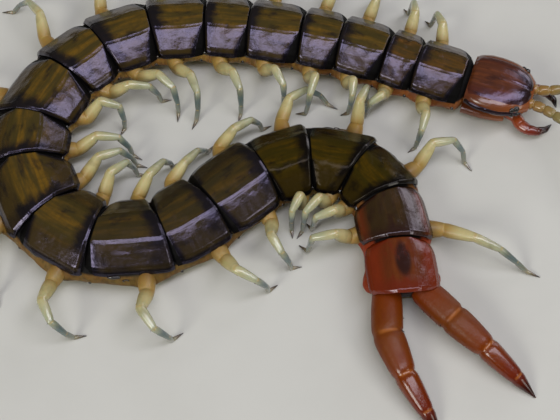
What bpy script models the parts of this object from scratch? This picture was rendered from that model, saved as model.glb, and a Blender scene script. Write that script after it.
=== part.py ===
"""A large tropical centipede at life size, resting on the tips of its legs.

Run it with blender --background --python part.py, or from the text editor.
Sizes below are in millimetres and are turned into metres as each mesh is made.
The trunk lies along a middle line on the floor, from the neck to the tail, and
every other piece is placed from a point of that line and its heading there.
"""
import bpy
import bmesh
import numpy as np
from math import cos, pi, radians, sin

MM = 0.001
GAP = 0.3                      # clearance between pieces that meet face to face

# Trunk: 21 back plates, alternately long and short, and the turns between them
PLATE_LENGTH = 5.4
PLATE_SHARES = (0.90, 0.60, 0.89, 0.74, 1.00, 0.83, 1.04, 1.02, 0.88, 1.11, 0.91,
                1.14, 0.99, 1.15, 0.92, 1.13, 0.90, 0.91, 0.76, 0.90, 0.92)
PLATE_TURNS = (-3, 3, 7, 3, 4, 10, 19, 22, 19, 24, 26, 35, 36, 31, 7, -21, -32, -44, -30, -1)
NECK = (18.4, 13.2)            # front of the first plate, before the model is centred
NECK_HEADING = 160             # degrees, looking from the head towards the tail
PLATES_PER_NODE = 3
TRUNK_WIDTH = 7.7
FRONT_TAPER = 0.17             # share of the width lost at the first plate
REAR_TAPER = 0.22              # share of the width lost at the last plate
BACK_HEIGHT = 4.7              # top of the back above the floor
RIM_HEIGHT = 2.9               # edge of a back plate above the floor
# The back from its edge to its middle, as shares of the half width and of the
# rise: a flat slope up to the crease at a third of the half width, then level
BACK_SLOPE = ((1.0, 0.0), (0.90, 0.28), (0.62, 0.64), (0.35, 0.93), (0.0, 1.0))
RIM_LIP = 0.35                 # how far a plate stands out over the flank
FLANK_HEIGHT = 2.6             # where the flank starts, just under the plate's lip
HIP_HEIGHT = 1.15              # where the flank turns in under the legs
HIP_INSET = 0.15               # how far the flank has drawn in by then
BELLY_HEIGHT = 0.5
BELLY_EDGE = (0.66, 0.1)       # share of the half width, and height above the belly
BELLY_FLAT = 0.3               # share of the half width that lies flat
LINE_SAMPLES = 1401            # points of the middle line
# Along one plate: share of its length, share of its width, and drop of its surface
PLATE_STATIONS = ((0.10, 0.94, 0.15), (0.38, 1.0, 0.0), (0.74, 1.0, -0.04), (0.95, 0.97, -0.06))
GROOVE = (0.90, 0.4)           # share of the width, and drop, in the step behind a plate
GROOVE_LENGTH = 0.1

# Walking legs: thigh, knee, shin and two foot joints, tip to floor
LEG_LENGTH = 10.2
LEG_PARTS = (0.12, 0.25, 0.21, 0.18, 0.13, 0.11)   # coxa, thigh, shin, two foot joints, claw
LEG_RADII = (0.66, 0.68, 0.47, 0.36, 0.28, 0.26, 0.12)   # at the root and after each part
LEG_GROWTH = (0.86, 0.01)      # share of the full length before the first leg, and more for each
LEG_ROOT_HEIGHT = 1.85
LEG_COXA_RISE = 0.1
LEG_KNEE_SHARES = (0.97, 0.85, 0.42)   # height after thigh, shin and first foot joint, by the knee's
LEG_FOOT_HEIGHTS = (0.20, 0.09)        # height of the last two joints
LEG_SWEEP_SHARES = (0.45, 1.0, 1.0, 1.0, 1.0, 1.0)     # how much of the sweep each part takes
LEG_CURL_SHARES = (0.0, 0.0, 0.33, 0.66, 1.0, 1.0)     # and of the curl
LEG_SHORTEST_REACH = 0.2
LIMB_FULLEST = 0.45            # place of the fullest ring inside a part of any limb
LEG_ROOT_SHARE = 0.7           # place of a leg along its plate
LEG_SIDES = 8
LEG_BULGE = 1.12
# For each plate from the neck: sweep and curl in degrees towards the tail,
# height of the knee in millimetres, and length as a share of the ordinary leg
RIGHT_LEGS = ((-25, 60, 3.2, 0.90), (-5, 130, 3.3, 0.74), (-50, 105, 3.6, 0.78), (-35, 115, 4.0, 1.01),
              (-55, 55, 3.7, 0.95), (-45, 55, 3.3, 1.00), (-35, 65, 3.2, 1.03), (-45, 75, 3.4, 1.01),
              (-40, -15, 3.5, 0.96), (-60, 155, 3.4, 0.91), (-15, 45, 3.5, 0.98), (-15, 60, 3.4, 0.98),
              (0, 60, 3.6, 0.91), (45, 5, 3.4, 0.94), (75, -5, 2.9, 0.87), (85, 15, 3.4, 0.93),
              (35, 100, 2.7, 0.96), (-10, 35, 4.3, 0.96), (-20, 105, 3.5, 0.98), (30, 0, 2.8, 1.10))
LEFT_LEGS = ((20, 40, 3.2, 0.90), (5, 50, 3.3, 0.92), (-10, 50, 3.4, 0.92), (-20, 55, 3.4, 0.94),
             (-10, 50, 3.3, 0.96), (5, 45, 3.3, 0.98), (15, 35, 3.3, 1.00), (-25, 15, 3.6, 0.94),
             (-35, 75, 3.2, 1.16), (0, 55, 3.3, 1.02), (25, 50, 3.3, 1.00), (60, 20, 3.3, 1.00),
             (15, 110, 3.3, 1.00), (-20, 135, 3.5, 1.00), (-5, 95, 3.5, 0.94), (-40, 100, 3.3, 0.86),
             (-60, 50, 3.9, 0.70), (-30, 15, 4.0, 0.80), (20, -105, 3.7, 0.74), (20, -65, 3.9, 0.87))

# Terminal legs, thick and trailing
TERMINAL_PARTS = (3.2, 3.8, 3.5, 2.3)
TERMINAL_RADII = (1.25, 1.38, 1.05, 0.72, 0.15)
TERMINAL_HEADINGS = ((48, 42, 40, 40), (-9, 16, 24, 28))   # right and left, off the trunk
TERMINAL_ROOT_OUT = 1.5
TERMINAL_HEIGHTS = (2.0, 1.9, 1.45, 0.85, 0.1)
TERMINAL_SIDES = 10
TERMINAL_FLATTEN = 0.92
TERMINAL_BULGE = 1.04

# Head, poison claws and feelers, in the head's own frame: x ahead, y to its left
HEAD_LENGTH = 6.4
HEAD_WIDTH = 6.8
HEAD_TOP = 4.5
HEAD_UNDERSIDE = 2.0
HEAD_SIDES = 18
HEAD_SQUARENESS = 0.75         # power that fills the corners of the section's ellipse
# Along the head: share of its length, share of its width, fall of its top, lift of its underside
HEAD_RINGS = ((0.0, 0.80, 0.35, 0.0), (0.06, 0.90, 0.12, 0.0), (0.22, 0.99, 0.0, 0.0),
              (0.42, 1.0, 0.0, 0.0), (0.62, 0.95, 0.08, 0.05), (0.80, 0.83, 0.28, 0.12),
              (0.92, 0.66, 0.58, 0.22), (0.985, 0.48, 0.85, 0.35))
EYE_SPOTS = ((4.75, 2.62, 3.45), (5.15, 2.42, 3.55), (4.85, 2.75, 3.0), (5.25, 2.5, 3.05))
EYE_RADIUS = 0.26
CLAW_PLATE_LENGTH = 4.3
CLAW_PLATE_WIDTH = 5.4
CLAW_PLATE_TOP = 1.65
# Along the plate: share of its length, share of its width, and fall of its top
CLAW_PLATE_RINGS = ((0.0, 1.0, 0.0), (0.5, 1.0, 0.0), (0.85, 0.92, 0.05), (1.0, 0.84, 0.15))
CLAW_PLATE_EDGE = (0.7, 0.75, 0.35, 0.3)   # flat share below and above, rounding below and above
CLAW_TURNS = (-60, 75)         # degrees round the arc of a claw, from its root to its tip
CLAW_REACH = 1.9               # radius of the arc ahead, and how far it bows out to the side
CLAW_BOW = 2.0
CLAW_INSIDE = 0.55             # nearest that the arc comes to the middle
CLAW_ROOT = (1.2, 1.1)         # out to the side, and height
CLAW_NECK = 0.8                # from the root to the arc
CLAW_HEIGHTS = (1.15, 0.95)
CLAW_RADII = (0.5, 0.56, 0.58, 0.54, 0.45, 0.32, 0.1)
CLAW_FLATTEN = 0.85
CLAW_BULGE = 1.02
CLAW_SIDES = 8
FEELER_BEADS = 17
FEELER_LENGTH = 19.0
FEELER_RADII = (0.52, 0.26)
FEELER_ROOT = (0.9, 3.0)       # half the distance between the roots, and their height
FEELER_SIDES = 6
FEELER_SPREAD = (14, 44)       # degrees off straight ahead: at the root, and more where it bows out
FEELER_WAVE = 2.6              # radians of the sine that the bowing follows
FEELER_ARCH = (1.1, 2.4)       # rise of the middle, and radians of the sine that it follows
FEELER_DROOP = 1.9             # fall of the tip
FEELER_SLIMNESS = 0.9          # waist of a bead by its radius
FEELER_BULGE = 1.14


def clear_scene():
    for old in list(bpy.data.objects):
        bpy.data.objects.remove(old, do_unlink=True)


def make_material(name, colour, roughness):
    """Plain Principled material with the piece's colour."""
    material = bpy.data.materials.new(name)
    material.use_nodes = True
    shader = material.node_tree.nodes["Principled BSDF"]
    shader.inputs["Base Color"].default_value = (*colour, 1.0)
    shader.inputs["Roughness"].default_value = roughness
    shader.inputs["Metallic"].default_value = 0.0
    return material


def add_loft(name, rings, material, parent, crease=40):
    """Closed body through a row of rings with the same number of points."""
    mesh = bpy.data.meshes.new(name)
    build = bmesh.new()
    loops = [[build.verts.new(tuple(point * MM)) for point in ring] for ring in rings]
    sides = len(loops[0])
    for near, far in zip(loops[:-1], loops[1:]):
        for i in range(sides):
            j = (i + 1) % sides
            build.faces.new((near[i], near[j], far[j], far[i]))
    build.faces.new(loops[0][::-1])
    build.faces.new(loops[-1])
    bmesh.ops.recalc_face_normals(build, faces=build.faces)
    build.to_mesh(mesh)
    build.free()
    mesh.shade_smooth()
    mesh.set_sharp_from_angle(angle=radians(crease))
    mesh.materials.append(material)
    piece = bpy.data.objects.new(name, mesh)
    collection.objects.link(piece)
    piece.parent = parent
    return piece


def fuse_domes(body, spots, radius, parent):
    """Join small round domes to a body, each sunk to about its middle."""
    domes = bpy.data.collections.new("domes")
    for number, spot in enumerate(spots):
        mesh = bpy.data.meshes.new("dome")
        build = bmesh.new()
        bmesh.ops.create_uvsphere(build, u_segments=8, v_segments=5, radius=radius * MM)
        build.to_mesh(mesh)
        build.free()
        dome = bpy.data.objects.new(f"dome_{number}", mesh)
        domes.objects.link(dome)
        dome.parent = parent
        dome.location = [value * MM for value in spot]
    bpy.context.scene.collection.children.link(domes)
    bpy.context.view_layer.update()
    union = body.modifiers.new("eyes", "BOOLEAN")
    union.operation = "UNION"
    union.operand_type = "COLLECTION"
    union.collection = domes
    seen = body.evaluated_get(bpy.context.evaluated_depsgraph_get())
    joined = bpy.data.meshes.new_from_object(seen)
    body.modifiers.remove(union)
    body.data = joined
    for dome in list(domes.objects):
        bpy.data.objects.remove(dome, do_unlink=True)
    bpy.data.collections.remove(domes)


def add_empty(name, parent=None):
    empty = bpy.data.objects.new(name, None)
    collection.objects.link(empty)
    empty.parent = parent
    return empty


def place(piece, spot, heading):
    """Stand a piece on a point of the floor, turned to a heading in radians."""
    piece.location = (spot[0] * MM, spot[1] * MM, 0.0)
    piece.rotation_euler = (0.0, 0.0, heading)


def middle_line():
    """Plate edges along the line, and the line itself as distance, x, y and heading.

    The heading changes evenly from the middle of one plate to the next, and the
    line is the sum of many short steps along it.
    """
    edges = np.concatenate([[0.0], np.cumsum(PLATE_SHARES)]) * PLATE_LENGTH
    middles = (edges[1:] + edges[:-1]) / 2
    turns = NECK_HEADING + np.concatenate([[0.0], np.cumsum(PLATE_TURNS)])
    along = np.linspace(0.0, edges[-1], LINE_SAMPLES)
    heading = np.interp(along, middles, np.radians(turns))
    step = along[1] - along[0]
    between = (heading[1:] + heading[:-1]) / 2
    x = NECK[0] + step * np.concatenate([[0.0], np.cumsum(np.cos(between))])
    y = NECK[1] + step * np.concatenate([[0.0], np.cumsum(np.sin(between))])
    return edges, (along, x, y, heading)


def point_on(line, distance):
    """Point and heading of the middle line at a distance from the neck."""
    along, x, y, heading = line
    spot = np.array([np.interp(distance, along, x), np.interp(distance, along, y)])
    return spot, float(np.interp(distance, along, heading))


def plate_width(number):
    """Full width at a plate, counted from 1: widest from the eighth to the sixteenth."""
    front = max(0.0, (8 - number) / 7)
    rear = max(0.0, (number - 16) / 5)
    return TRUNK_WIDTH * (1 - FRONT_TAPER * front - REAR_TAPER * rear ** 1.3)


def trunk_section(width, rim, drop):
    """One cross-section, as points across and up: arched back, lip, flank and flat belly.

    rim is the plate's share of the full width here, and drop how far its surface
    lies below the full height.
    """
    half = width / 2
    slope = np.array(BACK_SLOPE)
    profile = np.vstack([slope, slope[-2::-1] * (-1, 1)])
    across = half * rim * profile[:, 0]
    up = RIM_HEIGHT + (BACK_HEIGHT - drop - RIM_HEIGHT) * profile[:, 1]
    flank = ((half - RIM_LIP) * min(rim, PLATE_STATIONS[-1][1]), FLANK_HEIGHT)
    hip = (half - RIM_LIP - HIP_INSET, HIP_HEIGHT)
    belly = (half * BELLY_EDGE[0], BELLY_HEIGHT + BELLY_EDGE[1])
    middle = (half * BELLY_FLAT, BELLY_HEIGHT)
    under = [(-side, height) for side, height in (flank, hip, belly, middle)]
    under += [(side, height) for side, height in (middle, belly, hip, flank)]
    return np.array(list(zip(across, up)) + under)


def trunk_ring(line, distance, section, ahead=0.0):
    """A cross-section set upright across the middle line, or a little ahead of a point of it."""
    spot, heading = point_on(line, distance)
    spot = spot + ahead * np.array([cos(heading), sin(heading)])
    right = np.array([-sin(heading), cos(heading)])
    flat = spot + section[:, :1] * right
    return np.column_stack([flat, section[:, 1]])


def build_trunk(edges, line, parent, materials):
    """Trunk in lengths of a few plates, each plate stepping down behind its rear edge."""
    count = len(PLATE_SHARES)
    for node, first in enumerate(range(0, count, PLATES_PER_NODE), start=1):
        last = first + PLATES_PER_NODE
        start = trunk_section(plate_width(first + 1), *GROOVE)
        rings = [trunk_ring(line, edges[first], start, GAP / 2)]
        for index in range(first, last):
            width = plate_width(index + 1)
            length = edges[index + 1] - edges[index]
            if index > first:
                groove = trunk_section(width, *GROOVE)
                rings.append(trunk_ring(line, edges[index] + GROOVE_LENGTH, groove))
            for share, rim, drop in PLATE_STATIONS:
                section = trunk_section(width, rim, drop)
                rings.append(trunk_ring(line, edges[index] + share * length, section))
        end = trunk_section(plate_width(last), *GROOVE)
        rings.append(trunk_ring(line, edges[last], end, -GAP / 2))
        tail = last == count
        add_loft(f"trunk_{node:02d}", rings, materials["tail" if tail else "back"], parent)


def limb_rings(points, radii, sides, flatten=1.0, bulge=LEG_BULGE):
    """Rings along a jointed limb: one at each joint, and a fuller one inside each part.

    Each ring stands square to the limb, and at a joint it halves the bend. The root's
    ring faces along x, as the piece that it meets does. Whatever would reach below
    the floor is flattened onto it, which makes the foot's flat.
    """
    points = np.asarray(points, float)
    steps = np.diff(points, axis=0)
    steps /= np.linalg.norm(steps, axis=1)[:, None]
    stations = []
    for i, step in enumerate(steps):
        at_joint = np.array([1.0, 0.0, 0.0]) if i == 0 else steps[i - 1] + step
        stations.append((points[i], at_joint, radii[i]))
        middle = points[i] + LIMB_FULLEST * (points[i + 1] - points[i])
        fuller = bulge * ((1 - LIMB_FULLEST) * radii[i] + LIMB_FULLEST * radii[i + 1])
        stations.append((middle, step, fuller))
    stations.append((points[-1], steps[-1], radii[-1]))
    angles = np.arange(sides) * 2 * pi / sides
    rings = []
    for centre, direction, radius in stations:
        ahead = direction / np.linalg.norm(direction)
        across = np.cross(ahead, (0, 0, 1))
        across /= np.linalg.norm(across)
        above = np.cross(across, ahead)
        ring = (centre + radius * np.outer(np.cos(angles), across)
                + radius * flatten * np.outer(np.sin(angles), above))
        ring[:, 2] = np.maximum(ring[:, 2], 0.0)
        rings.append(ring)
    return rings


def leg_points(side, number, pose):
    """Joints of a walking leg in its own frame: x outwards, y towards the tail, z up.

    The coxa leaves the flank squarely, the thigh rises to the knee at the sweep
    angle, and the rest comes down to the floor while it turns on by the curl.
    """
    sweep, curl, knee, share = pose
    length = LEG_LENGTH * share * (LEG_GROWTH[0] + LEG_GROWTH[1] * number)
    heights = [LEG_ROOT_HEIGHT + LEG_COXA_RISE]
    heights += [part * knee for part in LEG_KNEE_SHARES]
    heights += LEG_FOOT_HEIGHTS
    points = [np.array([GAP, 0.0, LEG_ROOT_HEIGHT])]
    for part, height, bend, turn in zip(LEG_PARTS, heights, LEG_CURL_SHARES, LEG_SWEEP_SHARES):
        angle = radians(sweep * turn + curl * bend)
        rise = height - points[-1][2]
        reach = max((part * length) ** 2 - rise ** 2, LEG_SHORTEST_REACH ** 2) ** 0.5
        step = np.array([reach * cos(angle), side * reach * sin(angle), rise])
        points.append(points[-1] + step)
    return points


def build_walking_legs(edges, line, parent, materials):
    """Twenty pairs of walking legs, each placed on the flank of its own plate."""
    for name, side, poses in (("right", 1, RIGHT_LEGS), ("left", -1, LEFT_LEGS)):
        for index, pose in enumerate(poses):
            distance = edges[index] + LEG_ROOT_SHARE * (edges[index + 1] - edges[index])
            spot, heading = point_on(line, distance)
            outward = heading + side * pi / 2
            flank = plate_width(index + 1) / 2 - RIM_LIP
            root = spot + flank * np.array([cos(outward), sin(outward)])
            points = leg_points(-side, index + 1, pose)
            rings = limb_rings(points, LEG_RADII, LEG_SIDES)
            label = f"leg_{name}_{index + 1:02d}"
            leg = add_loft(label, rings, materials["leg"], parent)
            place(leg, root, outward)


def build_terminal_legs(edges, line, parent, materials):
    """The last, thick pair, which starts side by side behind the last plate."""
    spot, heading = point_on(line, edges[-1])
    for name, side, headings in (("right", 1, TERMINAL_HEADINGS[0]), ("left", -1, TERMINAL_HEADINGS[1])):
        points = [np.array([GAP, side * TERMINAL_ROOT_OUT, TERMINAL_HEIGHTS[0]])]
        for part, angle, height in zip(TERMINAL_PARTS, headings, TERMINAL_HEIGHTS[1:]):
            turn = radians(angle)
            step = part * np.array([cos(turn), sin(turn), 0.0])
            points.append(points[-1] + step + [0, 0, height - points[-1][2]])
        rings = limb_rings(points, TERMINAL_RADII, TERMINAL_SIDES, TERMINAL_FLATTEN, TERMINAL_BULGE)
        leg = add_loft(f"terminal_leg_{name}", rings, materials["tail"], parent)
        place(leg, spot, heading)


def build_head(frame, materials):
    """Flat, rounded head capsule: widest behind its middle, blunt in front."""
    around = np.arange(HEAD_SIDES) * 2 * pi / HEAD_SIDES
    side = np.sign(np.cos(around)) * np.abs(np.cos(around)) ** HEAD_SQUARENESS
    rise = np.sign(np.sin(around)) * np.abs(np.sin(around)) ** HEAD_SQUARENESS
    rings = []
    for share, width, fall, lift in HEAD_RINGS:
        top, bottom = HEAD_TOP - fall, HEAD_UNDERSIDE + lift
        across = HEAD_WIDTH / 2 * width * side
        up = (top + bottom) / 2 + (top - bottom) / 2 * rise
        ahead = np.full(HEAD_SIDES, GAP + share * HEAD_LENGTH)
        rings.append(np.column_stack([ahead, across, up]))
    head = add_loft("head", rings, materials["head"], frame)
    fuse_domes(head, [(GAP + ahead, side * out, height) for side in (1, -1)
                      for ahead, out, height in EYE_SPOTS], EYE_RADIUS, frame)


def build_claw_plate(frame, materials):
    """Plate under the head that carries the poison claws."""
    flat_below, flat_above, round_below, round_above = CLAW_PLATE_EDGE
    rings = []
    for share, width, fall in CLAW_PLATE_RINGS:
        half = CLAW_PLATE_WIDTH / 2 * width
        ahead = GAP + share * CLAW_PLATE_LENGTH
        high = CLAW_PLATE_TOP - fall
        left = [(half * flat_below, BELLY_HEIGHT), (half, BELLY_HEIGHT + round_below),
                (half, high - round_above), (half * flat_above, high)]
        right = [(-out, height) for out, height in left[::-1]]
        rings.append(np.array([(ahead, out, height) for out, height in left + right]))
    add_loft("poison_claw_plate", rings, materials["head"], frame)


def build_poison_claws(frame, materials):
    """Hooked claws that curve round under the front of the head and nearly meet."""
    start = GAP * 2 + CLAW_PLATE_LENGTH
    turn = np.radians(np.linspace(*CLAW_TURNS, len(CLAW_RADII) - 1))
    ahead = start + CLAW_NECK + CLAW_REACH * (np.sin(turn) - np.sin(turn[0]))
    out = CLAW_INSIDE + CLAW_BOW * np.cos(turn)
    height = np.linspace(*CLAW_HEIGHTS, len(turn))
    for name, side in (("left", 1), ("right", -1)):
        points = np.column_stack([ahead, side * out, height])
        points = np.vstack([[start, side * CLAW_ROOT[0], CLAW_ROOT[1]], points])
        rings = limb_rings(points, CLAW_RADII, CLAW_SIDES, CLAW_FLATTEN, CLAW_BULGE)
        add_loft(f"poison_claw_{name}", rings, materials["claw"], frame)


def build_feelers(frame, materials):
    """Beaded feelers that spread, then bend forward, thinner bead by bead."""
    start = HEAD_LENGTH * HEAD_RINGS[-1][0] + 2 * GAP
    share = np.linspace(0, 1, FEELER_BEADS + 1)
    headings = np.radians(FEELER_SPREAD[0] + FEELER_SPREAD[1] * np.sin(share * FEELER_WAVE))
    step = FEELER_LENGTH / FEELER_BEADS
    ahead = start + step * np.concatenate([[0], np.cumsum(np.cos(headings[:-1]))])
    out = FEELER_ROOT[0] + step * np.concatenate([[0], np.cumsum(np.sin(headings[:-1]))])
    arch, arch_wave = FEELER_ARCH
    height = FEELER_ROOT[1] + arch * np.sin(share * arch_wave) - FEELER_DROOP * share ** 2
    radii = np.interp(share, (0, 1), FEELER_RADII) * FEELER_SLIMNESS
    for name, side in (("left", 1), ("right", -1)):
        points = np.column_stack([ahead, side * out, height])
        rings = limb_rings(points, radii, FEELER_SIDES, bulge=FEELER_BULGE)
        add_loft(f"feeler_{name}", rings, materials["feeler"], frame)


def centre_on_floor(root):
    """Move everything so that the model's box is centred over the origin."""
    bpy.context.view_layer.update()
    corners = [piece.matrix_world @ vertex.co for piece in collection.objects
               if piece.type == "MESH" for vertex in piece.data.vertices]
    spread = np.array(corners)
    root.location.x = -(spread[:, 0].min() + spread[:, 0].max()) / 2
    root.location.y = -(spread[:, 1].min() + spread[:, 1].max()) / 2


def build_centipede():
    materials = {
        "back": make_material("olive_back_plate", (0.10, 0.085, 0.045), 0.25),
        "tail": make_material("rust_tail_plate", (0.45, 0.10, 0.03), 0.25),
        "head": make_material("brown_head_plate", (0.16, 0.08, 0.04), 0.25),
        "leg": make_material("amber_leg", (0.50, 0.42, 0.16), 0.35),
        "claw": make_material("dark_claw", (0.20, 0.05, 0.03), 0.22),
        "feeler": make_material("olive_feeler", (0.20, 0.24, 0.14), 0.4),
    }
    root = add_empty("centipede_centre")
    edges, line = middle_line()
    build_trunk(edges, line, root, materials)
    build_walking_legs(edges, line, root, materials)
    build_terminal_legs(edges, line, root, materials)
    head_frame = add_empty("head_frame", root)
    place(head_frame, NECK, radians(NECK_HEADING) + pi)
    build_head(head_frame, materials)
    build_claw_plate(head_frame, materials)
    build_poison_claws(head_frame, materials)
    build_feelers(head_frame, materials)
    centre_on_floor(root)


clear_scene()
collection = bpy.data.collections.new("centipede")
bpy.context.scene.collection.children.link(collection)
build_centipede()
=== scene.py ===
import bpy
import numpy as np
from mathutils import Matrix, Vector


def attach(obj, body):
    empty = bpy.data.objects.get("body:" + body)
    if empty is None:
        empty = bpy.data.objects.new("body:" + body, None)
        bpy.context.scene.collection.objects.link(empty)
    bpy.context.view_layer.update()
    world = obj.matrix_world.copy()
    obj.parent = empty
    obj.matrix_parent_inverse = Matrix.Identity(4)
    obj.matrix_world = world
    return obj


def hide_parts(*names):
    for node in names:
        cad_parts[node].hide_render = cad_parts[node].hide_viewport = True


# A large tropical centipede, still, at life size. Sizes below are in millimetres.
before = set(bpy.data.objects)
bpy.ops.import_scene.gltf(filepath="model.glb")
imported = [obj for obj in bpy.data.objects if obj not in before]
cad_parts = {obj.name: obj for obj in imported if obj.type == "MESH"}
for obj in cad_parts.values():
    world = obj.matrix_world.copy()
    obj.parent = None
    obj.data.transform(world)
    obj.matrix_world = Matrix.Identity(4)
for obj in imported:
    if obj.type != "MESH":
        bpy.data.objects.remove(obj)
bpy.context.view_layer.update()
mm = 0.001
pi = np.pi
gap = 0.3                      # what the solids keep between neighbours
bodySides = (("right", 1), ("left", -1))


# vectors cut or drawn out to length 1
def unit(vectors):
    return vectors / np.linalg.norm(vectors, axis=-1, keepdims=True)


# 0 up to the start, 1 from the end on, and straight between them
def grown(value, start, end):
    return np.clip((value - start) / (end - start), 0, 1)


# Gaussian bump of a distance, 1 at its middle
def bump(distance, width):
    return np.exp(-(distance / width) ** 2)


# sums of the first parts, starting with none
def runningSum(parts):
    return np.concatenate([[0.0], np.cumsum(parts)])


# angles of a full turn in even steps
def fullTurn(count):
    return np.arange(count) * 2 * pi / count


# coordinates spread over one grid and stacked into vectors
def stacked(*parts):
    return np.stack(np.broadcast_arrays(*parts), -1)


# one ring round each centre: cosine of the turn times one vector plus sine of it times the other
def ringsAround(centres, first, second, count):
    turn = fullTurn(count)[:, None]
    return centres[:, None] + np.cos(turn) * first[:, None] + np.sin(turn) * second[:, None]


# Shapes are (points, faces, places): places is one vector a point, for the markings
# faces of a grid, each cell joined to the next row and column; flip turns them over
def gridFaces(rows, cols, closed, start=0, flip=False):
    r, c = np.meshgrid(np.arange(rows - 1), np.arange(cols - (not closed)), indexing="ij")
    after = (c + 1) % cols
    cells = [r * cols + c, r * cols + after, (r + 1) * cols + after, (r + 1) * cols + c]
    quads = np.stack(cells, -1).reshape(-1, 4) + start
    return (quads[:, ::-1] if flip else quads).tolist()


# turns every face over when the volume summed from them comes out negative
def facingOut(points, faces):
    corners = np.array([[f[0], f[1], f[2], f[-1]] for f in faces])
    a, b, c, d = (points[corners[:, i]] for i in range(4))
    volume = (np.cross(b - a, c - a) * a).sum() + (np.cross(c - a, d - a) * a).sum()
    return [f[::-1] for f in faces] if volume < 0 else faces


# a closed tube through rings (rows, columns, 3), with a fan of triangles on each end
def tubeShape(rings, places):
    rows, cols = rings.shape[:2]
    ends = np.array([rings[0].mean(0), rings[-1].mean(0)])
    points = np.vstack([rings.reshape(-1, 3), ends])
    faces = gridFaces(rows, cols, True)
    i = np.arange(cols)
    j = (i + 1) % cols
    first, last = rows * cols, rows * cols + 1
    faces += np.column_stack([j, i, np.full(cols, first)]).tolist()
    lastRow = (rows - 1) * cols
    faces += np.column_stack([lastRow + i, lastRow + j, np.full(cols, last)]).tolist()
    marks = np.vstack([places.reshape(-1, 3), places[0].mean(0), places[-1].mean(0)])
    return points, facingOut(points, faces), marks


# a closed shell: the given grid, and the same grid sunk along its normals by the thickness
def slabShape(top, places, thickness):
    rows, cols = top.shape[:2]
    normal = unit(np.cross(np.gradient(top, axis=0), np.gradient(top, axis=1)))
    under = top - thickness * normal * np.sign(normal[rows // 2, cols // 2, 2])
    points = np.vstack([top.reshape(-1, 3), under.reshape(-1, 3)])
    size = rows * cols
    faces = gridFaces(rows, cols, False) + gridFaces(rows, cols, False, size, True)
    index = np.arange(size).reshape(rows, cols)
    border = np.concatenate([index[0, :-1], index[:-1, -1], index[-1, :0:-1], index[:0:-1, 0]])
    after = np.roll(border, -1)
    faces += np.column_stack([after, border, border + size, after + size]).tolist()
    return points, facingOut(points, faces), np.vstack([places.reshape(-1, 3)] * 2)


# several shapes as one
def joinShapes(shapes):
    starts = np.cumsum([0] + [len(s[0]) for s in shapes])
    faces = [[v + int(start) for v in face] for s, start in zip(shapes, starts) for face in s[1]]
    return np.vstack([s[0] for s in shapes]), faces, np.vstack([s[2] for s in shapes])


# an object at the origin that shows the data
def inScene(name, data):
    made = bpy.data.objects.new(name, data)
    bpy.context.scene.collection.objects.link(made)
    return made


# a shape as an object that rides on the body
def newPiece(name, shape, material, replaces=()):
    points, faces, places = shape
    mesh = bpy.data.meshes.new(name)
    mesh.from_pydata((points * mm).tolist(), [], faces)
    mesh.attributes.new("place", "FLOAT_VECTOR", "POINT").data.foreach_set("vector", places.ravel())
    mesh.shade_smooth()
    mesh.materials.append(material)
    piece = inScene(name, mesh)
    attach(piece, "root")
    if replaces:
        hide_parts(*replaces)
    return piece


# The middle line of the trunk
trunk = {
    "neck": (14.637, 9.124),       # front of the first plate
    "heading": 160,                # degrees, looking from the head to the tail
    "plateLength": 5.4,
    "shares": (0.90, 0.60, 0.89, 0.74, 1.00, 0.83, 1.04, 1.02, 0.88, 1.11, 0.91,
               1.14, 0.99, 1.15, 0.92, 1.13, 0.90, 0.91, 0.76, 0.90, 0.92),
    "turns": (-3, 3, 7, 3, 4, 10, 19, 22, 19, 24, 26, 35, 36, 31, 7, -21, -32, -44, -30, -1),
    "width": 7.7, "widest": (8, 16), "frontTaper": 0.17, "rearTaper": 0.22,
    "top": 4.7, "rim": 2.9, "softness": 0.018,
    # from the middle of the back to its edge: share of the half width, share of the rise
    "slope": ((0.0, 1.0), (0.35, 0.93), (0.62, 0.64), (0.92, 0.25), (1.0, 0.0), (1.06, -0.17)),
}
plateCount = len(trunk["shares"])
edges = runningSum(trunk["shares"]) * trunk["plateLength"]
middles = (edges[1:] + edges[:-1]) / 2
lineSteps = np.linspace(0.0, edges[-1], 1401)
lineHeading = np.interp(lineSteps, middles, np.radians(trunk["heading"] + runningSum(trunk["turns"])))
betweenHeading = (lineHeading[1:] + lineHeading[:-1]) / 2
lineX = trunk["neck"][0] + lineSteps[1] * runningSum(np.cos(betweenHeading))
lineY = trunk["neck"][1] + lineSteps[1] * runningSum(np.sin(betweenHeading))


# place and heading on the middle line; past either end it runs on straight
def onLine(distance):
    inside = np.clip(distance, 0, edges[-1])
    heading = np.interp(inside, lineSteps, lineHeading)
    beyond = distance - inside
    x = np.interp(inside, lineSteps, lineX) + beyond * np.cos(heading)
    y = np.interp(inside, lineSteps, lineY) + beyond * np.sin(heading)
    return x, y, heading


# distance to a place on a plate: its front edge and a share of its length
def alongPlate(index, share):
    return edges[index] + share * (edges[index + 1] - edges[index])


# number of the plate at a distance, with fractions from one plate's middle to the next
def numberAt(distance):
    return np.interp(distance, middles, np.arange(plateCount) + 1)


# width at a plate counted from 1, which may be a fraction: less before and behind the widest ones
def plateWidth(number):
    first, last = trunk["widest"]
    front, rear = 1 - grown(number, 1, first), grown(number, last, plateCount)
    return trunk["width"] * (1 - trunk["frontTaper"] * front - trunk["rearTaper"] * rear ** 1.3)


# rise of the back, 1 in the middle and 0 at the rim, for a share of the half width: the mean of close
# shares, which rounds the creases; rounding spreads them, most of all near the middle
def backRise(share, rounding=0.0):
    at, rise = np.array(trunk["slope"]).T
    away = np.abs(share)
    soft = trunk["softness"] + rounding * (1 - grown(away, 0, 0.7))
    steps = np.linspace(-1, 1, 9)
    return sum(np.interp(away + step * soft, at, rise) for step in steps) / len(steps)


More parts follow.
